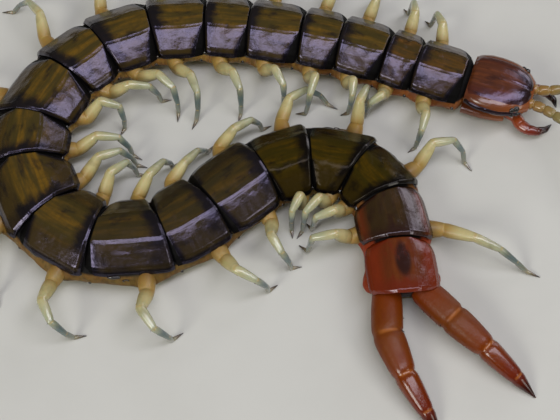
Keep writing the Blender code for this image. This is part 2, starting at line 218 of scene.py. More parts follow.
# Finishes
# screen colour, 0 to 255, as the linear colour that shaders use
def tone(colour):
    part = np.array(colour) / 255
    linear = np.where(part <= 0.04045, part / 12.92, ((part + 0.055) / 1.055) ** 2.4)
    return (*linear.tolist(), 1.0)


# node tree of one material, with short calls for the nodes used here
class Finish:
    def __init__(self, name):
        self.material = bpy.data.materials.new(name)
        self.material.use_nodes = True
        self.tree = self.material.node_tree
        self.shader = self.tree.nodes["Principled BSDF"]

    # a node with its settings made and its inputs fed; gives one of its outputs
    def add(self, kind, inputs, output=0, **settings):
        node = self.tree.nodes.new(kind)
        for key, value in settings.items():
            setattr(node, key, value)
        for key, value in inputs.items():
            self.feed(node.inputs[key], value)
        return node.outputs[output]

    # links the socket, or sets a plain value on it; three numbers are a screen colour
    def feed(self, socket, value):
        if isinstance(value, bpy.types.NodeSocket):
            self.tree.links.new(value, socket)
        elif isinstance(value, tuple) and len(value) == 3:
            socket.default_value = tone(value)
        else:
            socket.default_value = value

    # the material, once the shader's inputs are fed
    def finished(self, values):
        for name, value in values.items():
            self.feed(self.shader.inputs[name], value)
        return self.material

    # the three values of the mark that each point carries
    def place(self):
        vector = self.add("ShaderNodeAttribute", {}, "Vector", attribute_name="place")
        split = self.add("ShaderNodeSeparateXYZ", {0: vector}, "X").node
        return split.outputs["X"], split.outputs["Y"], split.outputs["Z"]

    # one kind of arithmetic on two values
    def math(self, kind, a, b=0.0):
        return self.add("ShaderNodeMath", {0: a, 1: b}, operation=kind)

    def plus(self, a, b):
        return self.math("ADD", a, b)

    def minus(self, a, b):
        return self.math("SUBTRACT", a, b)

    # product of all the values
    def times(self, product, *others):
        for other in others:
            product = self.math("MULTIPLY", product, other)
        return product

    # smooth step from first, up to low, to last, from high on
    def ramp(self, value, low, high, first=0.0, last=1.0):
        inputs = {"Value": value, "From Min": low, "From Max": high, "To Min": first, "To Max": last}
        return self.add("ShaderNodeMapRange", inputs, interpolation_type="SMOOTHSTEP")

    # colour a where the factor is 0, b where it is 1
    def mix(self, factor, a, b):
        return self.add("ShaderNodeMix", {0: factor, 6: a, 7: b}, 2, data_type="RGBA")

    # colours laid over the first: each layer is a value, the ramp that it takes and its colour
    def layered(self, colour, *layers):
        for value, *span, over in layers:
            colour = self.mix(self.ramp(value, *span), colour, over)
        return colour

    def noise(self, vector, scale, detail=3.0):
        inputs = {"Vector": vector, "Scale": scale, "Detail": detail, "Roughness": 0.55}
        return self.add("ShaderNodeTexNoise", inputs, "Fac")

    # noise over the marked place, each direction stretched by its own scale
    def stretched(self, place, scales, scale=1.0, detail=3.0):
        parts = [self.times(part, by) for part, by in zip(place, scales)]
        return self.noise(self.add("ShaderNodeCombineXYZ", dict(enumerate(parts))), scale, detail)

    def inObject(self):
        return self.add("ShaderNodeTexCoord", {}, "Object")

    # normal tilted by a height, which counts as depth in mm
    def relief(self, height, depth):
        inputs = {"Height": height, "Distance": depth * mm, "Strength": 1.0}
        return self.add("ShaderNodeBump", inputs, "Normal")


# glossy shell with amber streaks near its middle, black clouds and black margins: beside the creases
# at the front, along the rim and across the rear; it shines in the colour of its sheen
violet = (0.66, 0.58, 0.95, 1.0)


def shellFinish(name, dark, streak, side, black, amount, oval=0.0, sideFrom=0.32,
                coat=0.22, sheen=violet, edgeCoat=0.0):
    f = Finish(name)
    place = f.place()
    along, across, number = place
    away = f.math("ABSOLUTE", across)
    streaks = f.stretched(place, (1.1, 6.0, 3.7), 1.0, 4.0)
    cloud = f.stretched(place, (2.2, 3.0, 3.7), 1.3)
    crossed = f.stretched(place, (14.0, 4.0, 3.7))
    middle = f.ramp(f.plus(away, f.times(cloud, 0.5)), 0.35, 0.95, 1.0, 0.0)
    amber = f.times(f.ramp(streaks, 0.38, 0.74), middle, amount, f.ramp(number, 8.0, 10.0, 0.9, 1.3),
                    f.ramp(number, 12.0, 14.0, 1.0, 0.55), f.ramp(crossed, 0.3, 0.6, 0.6, 1.0))
    colour = f.mix(amber, f.layered(dark, (away, sideFrom, sideFrom + 0.28, side)), streak)
    if oval:                       # dark oval patch in the middle of the plate
        far = f.plus(f.math("POWER", f.times(across, 4.2), 2.0),
                     f.math("POWER", f.times(f.minus(along, 0.42), 3.0), 2.0))
        colour = f.layered(colour, (far, 0.35, 1.25, oval, 0.0, (44, 14, 10)))
    colour = f.layered(
        colour, (number, 12.6, 14.2, 0.0, 0.42, (10, 8, 2)), (cloud, 0.50, 0.74, 0.0, 0.7, black))
    corner = f.times(f.ramp(away, 0.36, 1.0), f.ramp(number, 11.0, 14.0, 0.2, 0.09))
    frontEdge = f.times(f.ramp(f.minus(along, corner), 0.05, 0.14, 1.0, 0.0), f.ramp(away, 0.32, 0.42))
    rearBand = f.times(f.ramp(f.plus(along, f.times(cloud, 0.34)), 0.84, 1.06, 0.0, 0.96),
                       f.ramp(away, 0.42, 0.8, 1.0, 0.45))
    rearEdge = f.math("MAXIMUM", f.ramp(along, 0.935, 0.985), rearBand)
    margin = f.math("MAXIMUM", f.math("MAXIMUM", frontEdge, rearEdge), f.ramp(away, 0.90, 0.955))
    fine = f.noise(f.inObject(), 2600.0, 4.0)
    cells = f.add("ShaderNodeTexVoronoi", {"Vector": f.inObject(), "Scale": 1500.0}, "Distance")
    pits = f.ramp(cells, 0.0, 0.35)
    height = f.plus(f.plus(f.times(fine, 0.8), f.times(pits, 0.22)), f.times(streaks, 0.7))
    gloss = f.plus(f.times(f.ramp(along, 0.92, 0.96), edgeCoat), coat)
    return f.finished({
        "Base Color": f.mix(margin, colour, black), "Roughness": f.ramp(crossed, 0.3, 0.7, 0.15, 0.25),
        "Normal": f.relief(height, 0.03), "Specular IOR Level": 0.65, "Specular Tint": sheen,
        "Coat Weight": f.times(f.minus(1.0, frontEdge), gloss), "Coat Roughness": 0.15})


# soft side and belly skin: ochre with orange patches, redder at both ends; painted shade makes it black
# under the back plates and dark at its tail end between the terminal legs
def skinFinish():
    f = Finish("pleura_skin")
    distance, around, up = f.place()
    here = f.inObject()
    patch = f.noise(here, 420.0)
    fold = f.stretched((distance, up, around), (2.2, 1.2, 1.0), 1.4, 4.0)
    # painted shade: the skin is black above this height, which rises towards the tail, where the back
    # plates shade it
    paintedShadeFrom = f.ramp(distance, 91.0, 94.0, 2.45, 3.0)
    # painted shade: the skin's tail end, between the terminal legs, is dark
    colour = f.layered(
        (146, 114, 52), (patch, 0.40, 0.62, (144, 100, 42)), (fold, 0.42, 0.66, 0.0, 0.65, (84, 62, 24)),
        (distance, 2.0, 22.0, 0.7, 0.0, (128, 58, 16)), (distance, 52.0, 70.0, 0.0, 0.55, (56, 46, 14)),
        (distance, 94.0, 102.0, 0.0, 0.85, (150, 48, 16)), (up, 0.7, 1.3, 0.75, 0.0, (176, 160, 104)),
        (f.minus(up, paintedShadeFrom), 0.0, 0.25, (8, 6, 6)), (distance, 105.4, 105.9, (26, 9, 6)))
    height = f.plus(f.times(f.noise(here, 3200.0, 4.0), 0.5), fold)
    rough = f.plus(f.ramp(patch, 0.3, 0.7, 0.34, 0.5), f.ramp(up, 2.3, 2.6, 0.0, 0.35))
    return f.finished({
        "Base Color": colour, "Roughness": rough, "Normal": f.relief(height, 0.09),
        "Specular IOR Level": 0.3, "Subsurface Weight": 0.15, "Subsurface Scale": 0.5 * mm})


# jointed limb: stops gives its colours by shares of its length, another colour is mixed in as painted shade
# on its underside and in random clouds, and its joints are pale on top only, partly a painted highlight;
# level is how much it mirrors, and it is matt up to the share glossFrom
def limbFinish(name, stops, under, joint, coat, through, glossFrom=0.0, level=0.5):
    f = Finish(name)
    along, joints, height = f.place()
    here = f.inObject()
    cloud = f.noise(here, 700.0)
    shifted = f.plus(along, f.times(f.minus(cloud, 0.5), 0.05))
    shares = list(stops)
    # painted shade: the underside of the limb is mixed towards the colour under
    colour = f.layered(stops[shares[0]], *((shifted, a, b, stops[b]) for a, b in zip(shares, shares[1:])),
                       (height, -0.9, 0.3, 0.8, 0.0, under), (cloud, 0.5, 0.72, 0.0, 0.35, under))
    # pale joints on the top of each joint only: partly the joint's own colour, partly a painted highlight
    pale = f.times(f.ramp(joints, 0.45, 0.95, 0.0, 0.6), f.ramp(height, 0.6, 0.95))
    rough = f.ramp(cloud, 0.3, 0.7, 0.14, 0.26)
    if glossFrom:
        matt = f.ramp(along, glossFrom - 0.06, glossFrom + 0.02, 1.0, 0.0)
        rough = f.plus(rough, f.times(matt, 0.22))
        coat = f.times(f.minus(1.05, matt), coat)
    return f.finished({
        "Base Color": f.mix(pale, colour, joint), "Roughness": rough,
        "Normal": f.relief(f.noise(here, 3800.0, 4.0), 0.03), "Specular IOR Level": level,
        "Subsurface Weight": through, "Subsurface Scale": 0.6 * mm,
        "Coat Weight": coat, "Coat Roughness": 0.1})


# hard dark chitin for small shields, claws and spines: two colours mixed by a noise
def chitinFinish(name, colour, worn, roughness, coat=0.8, level=0.5):
    f = Finish(name)
    here = f.inObject()
    fine = f.noise(here, 4200.0)
    return f.finished({
        "Base Color": f.mix(f.ramp(f.noise(here, 900.0, 4.0), 0.42, 0.68), colour, worn),
        "Roughness": f.ramp(fine, 0.3, 0.7, roughness * 0.8, roughness * 1.3),
        "Normal": f.relief(fine, 0.015), "Specular IOR Level": level,
        "Coat Weight": coat, "Coat Roughness": 0.06})


black = (9, 7, 8)
backTones = ((66, 55, 12), (124, 90, 8), (60, 47, 12))
redSheen = (0.8, 0.74, 0.9, 1.0)
backFinish = shellFinish("olive_back_shell", *backTones, black, 0.75)
# the same shell where it mirrors little but at its rear edge
quietFinish = shellFinish("quiet_back_shell", *backTones, black, 0.75,
                          coat=0.03, sheen=(0.16, 0.13, 0.10, 1.0), edgeCoat=0.5)
rustEdgedFinish = shellFinish("rust_edged_shell", (64, 44, 6), (94, 60, 8), (124, 52, 6), (40, 16, 4), 0.8,
                              sideFrom=0.60, sheen=redSheen)
orangeFinish = shellFinish("orange_tail_shell", (124, 52, 3), (152, 80, 8), (152, 52, 2), (108, 34, 3), 0.8,
                           oval=0.9, sideFrom=0.45, sheen=redSheen)
frontFinish = shellFinish("chestnut_back_shell", (66, 51, 12), (122, 78, 10), (60, 44, 12), black, 0.8)
skin = skinFinish()
darkChitin = chitinFinish("black_side_shields", (10, 8, 8), (44, 26, 16), 0.2)
bandFinish = chitinFinish("black_front_band", (7, 6, 6), (13, 11, 10), 0.6, 0.0, 0.1)
print("finishes made")


# Back plates: stiff shells, each with its own wedge between two cuts across the trunk
backPlates = {
    "thickness": 0.20, "rows": 40, "columns": 81,
    "front": 0.035, "rear": 1.02,  # where a plate starts and ends, as shares of its length
    "rearBow": (0.025, 0.13),      # how far the rear edge bows out, on all plates but the last and on it
    # how far the corners are drawn in and the sides swell between them, in half widths
    "frontDrawn": 0.14, "rearDrawn": 0.10, "swell": 0.015,
    # the black front edge slopes down under the plate before and widens to a wedge beside the creases
    "frontDip": 0.34, "bandLength": 0.045, "cornerLength": (0.20, 0.09), "bandRows": 9,
    "rearLift": 0.07, "rearDrop": 0.14, "rearRidge": 0.04, "margin": 0.05,
    "overhang": 1.05,              # how far the plates reach over the flanks, in half widths
    "crease": 0.36, "creaseDepth": 0.04,
    "roundings": {17: 0.26, 18: 0.26, 19: 0.12},   # the quiet plates' creases are rounder, by how much
    "wave": 0.022,                 # height of the shallow unevenness
    "rolls": {18: 0.015},          # plates that lean to one side: rise for each millimetre across
    "drops": {14: 0.05, 17: 0.10, 18: 0.03},       # plates that fall away faster beside the creases
    "tailFlat": 0.22,              # how much lower the back of the last plate is
}


# shares of a row, closer together near both ends: half of a cosine wave mixed with even steps
def endsCloser(count, low, high, mixing=0.6):
    even = np.linspace(0, 1, count)
    return low + (high - low) * (mixing * (1 - np.cos(even * pi)) / 2 + (1 - mixing) * even)


# a point of the wedge between the front and rear cuts of a plate: along is a share, across in mm
def onPlate(index, along, across, up):
    x, y, heading = onLine(edges[index:index + 2])
    right = np.stack([-np.sin(heading), np.cos(heading)])
    ends = [np.stack([x[i] + across * right[0, i], y[i] + across * right[1, i]], -1) for i in (0, 1)]
    flat = ends[0] * (1 - along[..., None]) + ends[1] * along[..., None]
    return np.concatenate([flat, up[..., None]], -1)


# length of the black front edge: short between the creases, longer towards the rims and less so on
# the plates behind the bend
def bandEnd(number, across):
    p = backPlates
    corner = np.interp(number, (11, 14), p["cornerLength"])
    return p["bandLength"] + corner * grown(np.abs(across), p["crease"], 1)


# outline: full behind its middle, drawn in at the front and with a rounded rear corner.
# height: the creased slope of the back, dipping under the plate before, with a raised margin
def backPlateShape(index):
    p = backPlates
    number = index + 1
    steps = endsCloser(p["rows"], 0, 1)
    u, v = np.meshgrid(steps, endsCloser(p["columns"], -1, 1, 0.35), indexing="ij")
    away = np.abs(v)
    bandStep, band = steps[p["bandRows"]], bandEnd(number, v)
    u = np.where(u < bandStep, u / bandStep * band, 1 - (1 - u) / (1 - bandStep) * (1 - band))
    rear = p["rear"] + p["rearBow"][number == plateCount] * (1 - v ** 2)
    along = p["front"] + (rear - p["front"]) * u
    outline = 1 - p["frontDrawn"] * (1 - grown(u, 0, 0.34)) ** 1.8
    outline += p["swell"] * np.sin(pi * u) - p["rearDrawn"] * grown(u, 0.86, 1) ** 2.5
    across = plateWidth(number) / 2 * p["overhang"] * outline * v
    rounding = p["roundings"].get(number, 0.0)
    groove = 0.0 if rounding else p["creaseDepth"]
    rise = backRise(v * p["overhang"], rounding)
    rise -= groove * bump(away - p["crease"], 0.012) * grown(u, 0, 0.1)
    rise -= p["drops"].get(number, 0.0) * grown(away, p["crease"], p["crease"] + 0.20)
    high = (trunk["top"] - trunk["rim"]) * (1 - p["tailFlat"] * grown(number, 18, plateCount))
    up = trunk["rim"] + high * rise - p["frontDip"] * (1 - grown(u, 0, band)) ** 1.6
    up += p["rearLift"] * grown(u, 0.4, 0.9) - p["rearDrop"] * grown(u, 0.95, 1)
    up += p["margin"] * bump(away - 0.955, 0.02) + p["rearRidge"] * bump(u - 0.94, 0.018)
    phase = np.random.default_rng(40 + index).uniform(0, 2 * pi, 4)
    wave = np.sin(3.1 * u * pi + phase[0]) * np.sin(2.3 * v * pi + phase[1])
    wave += 0.6 * np.sin(5.7 * u * pi + 2.2 * v + phase[2]) * np.sin(4.9 * v * pi + phase[3])
    up += p["wave"] * wave * np.sin(pi * u) * (1 - away ** 4) + p["rolls"].get(number, 0.0) * across
    return slabShape(onPlate(index, along, across, up), stacked(u, v, number), p["thickness"])


# the plates that aren't plain olive
plateFinishes = {1: frontFinish, 2: frontFinish, 20: rustEdgedFinish, 21: orangeFinish}
plateFinishes.update({number: quietFinish for number in backPlates["roundings"]})
for index in range(plateCount):
    number = index + 1
    finish = plateFinishes.get(number, backFinish)
    plate = newPiece(f"back_plate_{number:02d}", backPlateShape(index), finish)
    if number < plateCount - 1:
        plate.data.materials.append(bandFinish)
        marks = np.array([mark.vector for mark in plate.data.attributes["place"].data])
        first = marks[[face.vertices[0] for face in plate.data.polygons]]
        inBand = first[:, 0] < bandEnd(number, first[:, 1]) - 0.001
        plate.data.polygons.foreach_set("material_index", inBand.astype(int))
print("back plates made")


# Skin: one tube from the neck to the tail
skinSettings = {
    "rows": 560, "columns": 96,
    # right half from the top down: share of the half width, height
    "section": ((0.0, 4.05), (0.36, 3.85), (0.62, 3.40), (0.80, 2.95), (0.89, 2.6), (0.95, 2.25),
                (0.98, 1.8), (0.92, 1.25), (0.78, 0.85), (0.6, 0.62), (0.3, 0.55), (0.0, 0.55)),
    "hipBulge": 0.60, "hipHeight": 1.55, "hipLength": 1.35, "hipShare": 0.7, "hipReach": 0.65,
    "waist": 0.05, "waistLength": 0.55,        # how far the flank draws in between two plates
    "waistDip": 0.25,              # how far the back sinks there
    "fold": 0.05, "middle": 2.2,
    "ends": (-0.7, 0.1), "closing": 0.9,       # past the trunk's ends, and the length in which it closes
}


# how far the flank stands out at a distance: swollen at the hips, drawn in between plates
def flankSwell(distance):
    s = skinSettings
    hips = alongPlate(np.arange(plateCount), s["hipShare"])
    steps = np.asarray(distance, float)[..., None]
    return (s["hipBulge"] * bump(steps - hips, s["hipLength"]).sum(-1)
            - s["waist"] * bump(steps - edges, s["waistLength"]).sum(-1))


# that swelling fades out above and below the hips
def flankShare(height):
    return bump(height - skinSettings["hipHeight"], skinSettings["hipReach"])


# distance from the middle line to the flank at a distance along it and a height
def flankOut(distance, height):
    share, up = np.array(skinSettings["section"][3:]).T
    return (plateWidth(numberAt(distance)) / 2 * np.interp(height, up[::-1], share[::-1])
            + flankSwell(distance) * flankShare(height))


# half section read at even shares of its length, mirrored, and carried along the line
def skinShape():
    s = skinSettings
    share, height = np.array(s["section"]).T
    run = runningSum(np.hypot(np.diff(share) * plateWidth(8) / 2, np.diff(height)))
    around = np.linspace(-1, 1, s["columns"], endpoint=False)
    share = np.interp(np.abs(around) * run[-1], run, share) * np.sign(around)
    height = np.interp(np.abs(around) * run[-1], run, height)
    start, end = s["ends"][0], edges[-1] + s["ends"][1]
    distance = np.linspace(start, end, s["rows"])
    x, y, heading = (value[:, None] for value in onLine(distance))
    halfWidth, swell = plateWidth(numberAt(distance))[:, None] / 2, flankSwell(distance)[:, None]
    waist = bump(distance[:, None] - edges, s["waistLength"]).sum(1)[:, None]
    distance = distance[:, None]
    closing = np.clip(np.minimum(distance - start, end - distance) / s["closing"], 0.02, 1) ** 0.4
    wrinkle = np.sin(distance * 5.1 + 3 * height) * np.sin(distance * 1.7 + 5 * height)
    flank = flankShare(height) * (np.abs(share) > 0.5)
    across = (halfWidth * share + np.sign(share) * flank * (swell + s["fold"] * wrinkle)) * closing
    up = s["middle"] + (height - s["middle"]) * closing
    up -= s["waistDip"] * waist * grown(up, 2.6, 4.0)
    rings = stacked(x - across * np.sin(heading), y + across * np.cos(heading), up)
    return tubeShape(rings, stacked(distance, around, up))


trunkNodes = [f"trunk_{number:02d}" for number in range(1, 8)]
newPiece("trunk_skin", skinShape(), skin, trunkNodes)
print("skin made")


# Limbs: every limb is a tube along its joints.
# Places along the joints, their directions and radii: each part swells by bulge and is drawn in
# close to its two joints, and the mark for a joint is 1 at it
def limbStations(points, radii, perPart, bulge, pinch):
    points, radii = np.asarray(points, float), np.asarray(radii, float)
    steps = np.diff(points, axis=0)
    lengths = np.linalg.norm(steps, axis=1)
    t = endsCloser(perPart, 0, 1, 0.5)[:-1]
    part = np.repeat(np.arange(len(steps)), len(t))
    t = np.append(np.tile(t, len(steps)), 1.0)
    part = np.append(part, len(steps) - 1)
    centres = points[part] + steps[part] * t[:, None]
    straight = steps / lengths[:, None]
    before = straight[np.maximum(part - 1, 0)]
    after = straight[np.minimum(part + 1, len(steps) - 1)]
    own = straight[part]
    nearStart, nearEnd = (1 - grown(t, 0, 0.16))[:, None] / 2, grown(t, 0.84, 1)[:, None] / 2
    direction = own * (1 - nearStart - nearEnd) + before * nearStart + after * nearEnd
    joint = np.maximum(bump(t, 0.07), bump(1 - t, 0.05))
    radius = radii[part] * (1 - t) + radii[part + 1] * t
    radius = radius * (1 + (bulge - 1) * np.sin(pi * t ** 0.85)) * (1 - pinch * joint)
    total = runningSum(lengths)
    share = (total[part] + lengths[part] * t) / total[-1]
    return centres, direction, radius, share, joint


# rings square to the direction; what would pass below the floor is laid on it
def limbShape(points, radii, sides=20, perPart=9, bulge=1.12, pinch=0.14, flatten=1.0):
    centres, direction, radius, share, joint = limbStations(points, radii, perPart, bulge, pinch)
    ahead, radius = unit(direction), radius[:, None]
    across = unit(np.cross(ahead, (0, 0, 1)))
    rings = ringsAround(centres, radius * across, flatten * radius * np.cross(across, ahead), sides)
    rings[..., 2] = np.maximum(rings[..., 2], 0.0)
    return tubeShape(rings, stacked(share[:, None], joint[:, None], np.sin(fullTurn(sides))))


# points given in a frame that stands on the floor, x along the heading and y to its left
def fromFrame(points, x, y, heading):
    c, s = np.cos(heading), np.sin(heading)
    points = np.asarray(points, float)
    turned = points @ np.array([[c, s, 0], [-s, c, 0], [0, 0, 1]])
    return turned + [x, y, 0]


# Walking legs: shares of a leg's length and of its knee's height, from the root to the claw
legs = {
    "length": 10.2, "growth": (0.86, 0.01),
    "parts": (0.12, 0.25, 0.21, 0.18, 0.13, 0.11),
    "radii": (0.86, 0.66, 0.46, 0.33, 0.25, 0.21, 0.03),
    "rootHeight": 1.85, "rootShare": 0.7, "rimLip": 0.35, "sunk": 0.7,
    "kneeShares": (0.97, 0.85, 0.42), "footHeights": (0.20, 0.09),
    "sweepShares": (0.45, 1.0, 1.0, 1.0, 1.0, 1.0), "curlShares": (0.0, 0.0, 0.33, 0.66, 1.0, 1.0),
    # for each plate: sweep and curl in degrees, knee height, share of the ordinary length
    "right": ((-25, 60, 3.2, 0.90), (-5, 130, 3.3, 0.74), (-50, 105, 3.6, 0.78), (-35, 115, 4.0, 1.01),
              (-55, 55, 3.7, 0.95), (-45, 55, 3.3, 1.00), (-35, 65, 3.2, 1.03), (-45, 75, 3.4, 1.01),
              (-40, -15, 3.5, 0.96), (-60, 155, 3.4, 0.91), (-15, 45, 3.5, 0.98), (-15, 60, 3.4, 0.98),
              (0, 60, 3.6, 0.91), (45, 5, 3.4, 0.94), (75, -5, 2.9, 0.87), (85, 15, 3.4, 0.93),
              (35, 100, 2.7, 0.96), (-10, 35, 4.3, 0.96), (-20, 105, 3.5, 0.98), (30, 0, 2.8, 1.10)),
    "left": ((20, 40, 3.2, 0.90), (5, 50, 3.3, 0.92), (-10, 50, 3.4, 0.92), (-20, 55, 3.4, 0.94),
             (-10, 50, 3.3, 0.96), (5, 45, 3.3, 0.98), (15, 35, 3.3, 1.00), (-25, 15, 3.6, 0.94),
             (-35, 75, 3.2, 1.16), (0, 55, 3.3, 1.02), (25, 50, 3.3, 1.00), (60, 20, 3.3, 1.00),
             (15, 110, 3.3, 1.00), (-20, 135, 3.5, 1.00), (-5, 95, 3.5, 0.94), (-40, 100, 3.3, 0.86),
             (-60, 50, 3.9, 0.70), (-30, 15, 4.0, 0.80), (20, -105, 3.7, 0.74), (20, -65, 3.9, 0.87)),
}


# joints of a leg in its own frame: each part turns by its share of the sweep and the curl,
# and reaches as far as its length leaves after its rise
def legPoints(side, number, pose):
    sweep, curl, knee, share = pose
    length = legs["length"] * share * (legs["growth"][0] + legs["growth"][1] * number)
    heights = [legs["rootHeight"] + 0.1, *np.multiply(legs["kneeShares"], knee), *legs["footHeights"]]
    points = [np.array([gap, 0.0, legs["rootHeight"]])]
    for part, height, bend, turn in zip(legs["parts"], heights, legs["curlShares"], legs["sweepShares"]):
        angle = np.radians(sweep * turn + curl * bend)
        rise = height - points[-1][2]
        reach = max((part * length) ** 2 - rise ** 2, 0.04) ** 0.5
        points.append(points[-1] + [reach * np.cos(angle), side * reach * np.sin(angle), rise])
    return np.array(points)


legFinish = limbFinish(
    "amber_leg", {0.0: (122, 86, 32), 0.17: (166, 134, 68), 0.33: (198, 186, 130), 0.56: (178, 180, 144),
                  0.70: (92, 108, 106), 0.84: (122, 128, 114), 0.91: (146, 138, 110),
                  0.955: (88, 74, 56), 0.985: (22, 12, 10)},
    (106, 98, 56), (186, 160, 96), 1.0, 0.12, glossFrom=0.40)
legJoints = []
for name, side in bodySides:
    for index, pose in enumerate(legs[name]):
        x, y, heading = onLine(alongPlate(index, legs["rootShare"]))
        outward = heading + side * pi / 2
        flank = plateWidth(index + 1) / 2 - legs["rimLip"]
        points = legPoints(-side, index + 1, pose)
        points[0, 0] -= legs["sunk"]
        points = fromFrame(points, x + flank * np.cos(outward), y + flank * np.sin(outward), outward)
        legJoints.append(points)
        label = f"leg_{name}_{index + 1:02d}"
        shape = limbShape(points, legs["radii"], bulge=1.09, pinch=0.05)
        newPiece(f"{label}_skin", shape, legFinish, [label])
print("walking legs made")


# Terminal legs: lengths of the parts, radii and heights at the joints, headings of the parts in degrees
terminalLegs = {
    "parts": (3.2, 3.8, 3.5, 2.3), "radii": (1.25, 1.38, 1.05, 0.72, 0.06),
    "headings": {"right": (48, 42, 40, 40), "left": (-9, 16, 24, 28)},
    "rootOut": 1.5, "heights": (2.0, 1.9, 1.45, 0.85, 0.1), "sunk": 0.9, "flatten": 0.92,
}
tailLegFinish = limbFinish(
    "rust_tail_leg", {0.0: (118, 46, 0), 0.3: (114, 54, 0), 0.60: (118, 48, 0), 0.80: (108, 32, 2),
                      0.92: (52, 12, 4), 1.0: (18, 6, 5)},
    (96, 18, 2), (176, 104, 44), 0.5, 0.05, glossFrom=0.55, level=0.28)
tailX, tailY, tailHeading = onLine(edges[-1])
terminalJoints = {}
for name, side in bodySides:
    t = terminalLegs
    points = [np.array([gap, side * t["rootOut"], t["heights"][0]])]
    for part, angle, height in zip(t["parts"], np.radians(t["headings"][name]), t["heights"][1:]):
        step = [part * np.cos(angle), part * np.sin(angle), height - points[-1][2]]
        points.append(points[-1] + step)
    points[0][0] -= t["sunk"]
    points = fromFrame(points, tailX, tailY, tailHeading)
    terminalJoints[name] = points
    shape = limbShape(points, t["radii"], sides=32, perPart=16, bulge=1.06, pinch=0.1, flatten=t["flatten"])
    newPiece(f"terminal_leg_{name}_shell", shape, tailLegFinish, [f"terminal_leg_{name}"])
print("terminal legs made")


# Small hard pieces.
# An ellipsoid: rings of radius sin(a) set along the first axis at cos(a)
def domeShape(centre, axes, radii, rows=10, columns=16, mark=(0.0, 0.0, 0.0)):
    a = np.linspace(0.06, pi - 0.06, rows)[:, None]
    long, wide, high = np.asarray(axes, float) * np.array(radii)[:, None]
    rings = ringsAround(np.cos(a) * long + centre, np.sin(a) * wide, np.sin(a) * high, columns)
    return tubeShape(rings, np.tile(np.array(mark), (rows, columns, 1)))


# thin cones: a triangle round each root, sunk a little, and a tip
def spikeShape(roots, directions, lengths, radius):
    roots = np.asarray(roots, float)
    ahead = unit(np.broadcast_to(np.asarray(directions, float), roots.shape))
    reach = np.broadcast_to(lengths, len(roots))[:, None] * ahead
    aside = unit(np.cross(ahead, np.where(np.abs(ahead[:, 2:]) < 0.9, [[0, 0, 1.0]], [[1.0, 0, 0]])))
    base = ringsAround(roots - 0.25 * reach, radius * aside, radius * np.cross(ahead, aside), 3)
    points = np.concatenate([base, (roots + reach)[:, None]], 1).reshape(-1, 3)
    points[:, 2] = np.maximum(points[:, 2], 0.0)
    start = np.arange(len(roots))[:, None] * 4
    faces = np.concatenate([start + f for f in ([0, 1, 3], [1, 2, 3], [2, 0, 3], [0, 2, 1])]).tolist()
    return points, facingOut(points, faces), np.zeros_like(points)


# the three directions at a point of the line: ahead, out to the given side, up
def axesOnLine(heading, side):
    ahead = np.array([np.cos(heading), np.sin(heading), 0])
    return ahead, np.array([-ahead[1], ahead[0], 0]) * side, np.array([0, 0, 1.0])


# a point at a height on the flank, moved out a little, and the directions ahead, out and up there
def onFlank(index, share, height, side, beyond):
    distance = alongPlate(index, share)
    x, y, heading = onLine(distance)
    ahead, out, up = axesOnLine(heading, side)
    centre = np.array([x, y, height]) + out * (flankOut(distance, height) + beyond)
    return centre, ahead, out, up


# Shiny dark shields on the flank
sideShields = {
    # share along the plate, height, half length, half height
    "places": ((0.95, 2.50, 0.58, 0.26), (0.36, 2.52, 0.62, 0.20),
               (0.66, 2.12, 0.30, 0.15), (0.10, 1.70, 0.18, 0.20)),
    "thickness": 0.17, "beyond": -0.02, "level": 0.94, "tilt": 0.34,
}
for name, side in bodySides:
    s = sideShields
    shapes = []
    for index in range(plateCount - 2):
        for share, height, half, high in s["places"]:
            centre, ahead, out, up = onFlank(index, share, height, side, s["beyond"])
            tilted = (out * s["level"] + up * s["tilt"], up * s["level"] - out * s["tilt"])
            shapes.append(domeShape(centre, (ahead, *tilted), (half, s["thickness"], high), 9, 14))
    newPiece(f"side_shields_{name}", joinShapes(shapes), darkChitin)

# Breathing holes: a long low ring on the flank of the segments that carry them
breathingHoles = {
    "segments": (3, 5, 8, 10, 12, 14, 16, 18, 20), "share": 0.48, "height": 2.3, "beyond": 0.04,
    "radius": 0.26, "thickness": 0.06, "lowness": 0.6,
}
p = breathingHoles
small = fullTurn(8)[:, None]
wide = p["radius"] + p["thickness"] * np.cos(small)
shapes = []
for number in p["segments"]:
    for side in (1, -1):
        centre, ahead, out, up = onFlank(number - 1, p["share"], p["height"], side, p["beyond"])
        centres = centre + p["thickness"] * np.sin(small) * out
        rings = np.swapaxes(ringsAround(centres, wide * ahead, wide * p["lowness"] * up, 24), 0, 1)
        rings = np.concatenate([rings, rings[:1]])
        shapes.append(tubeShape(rings, np.zeros_like(rings)))
newPiece("breathing_holes", joinShapes(shapes), darkChitin)

# Belly plates: thin flat shells with two lengthwise grooves and raised front and rear edges
belly = {"width": 0.66, "height": 0.60, "thickness": 0.08, "groove": 0.05, "front": 0.06, "length": 0.88}
bellyFinish = chitinFinish("olive_belly_plate", (150, 138, 88), (122, 104, 58), 0.35)
u, v = np.meshgrid(endsCloser(16, 0, 1), endsCloser(31, -1, 1), indexing="ij")
away, apart = np.abs(v), np.abs(2 * u - 1)
up = belly["height"] + 0.06 * away ** 3 + belly["groove"] * (bump(away - 0.4, 0.03) + apart ** 6)
shapes = []
for index in range(plateCount):
    across = plateWidth(index + 1) / 2 * belly["width"] * (1 - 0.12 * apart ** 3) * v
    flat = onPlate(index, belly["front"] + belly["length"] * u, across, up)
    shapes.append(slabShape(flat, np.zeros((*u.shape, 3)), belly["thickness"]))
newPiece("belly_plates", joinShapes(shapes), bellyFinish)
print("shields and belly plates made")


